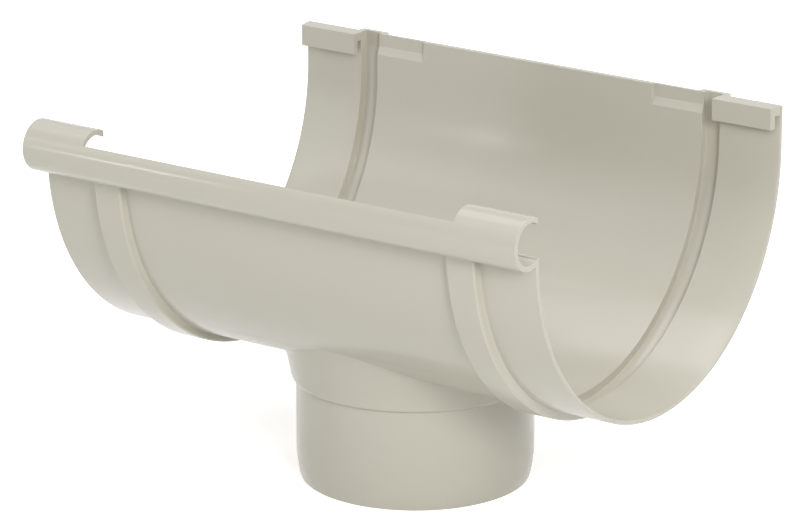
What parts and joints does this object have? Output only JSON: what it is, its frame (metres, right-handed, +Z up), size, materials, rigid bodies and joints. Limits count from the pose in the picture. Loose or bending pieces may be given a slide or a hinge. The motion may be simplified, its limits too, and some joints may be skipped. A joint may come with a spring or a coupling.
{
  "type": "gutter outlet",
  "caption": "Half-round gutter outlet with socket ends, front bead roll, rear clips, expansion grooves and a round downpipe spigot below",
  "frame": {"origin": "centre of the spigot's lower edge, on the spigot's axis", "axes": "X runs along the gutter, Y from the front bead to the rear clips, Z up along the spigot"},
  "size_m": [0.242, 0.2016, 0.158],
  "materials": {
    "pvc": "semi-gloss sand-coloured PVC, as moulded"
  },
  "bodies": {
    "root": {"gutter_outlet": "pvc"}
  },
  "joints": []
}
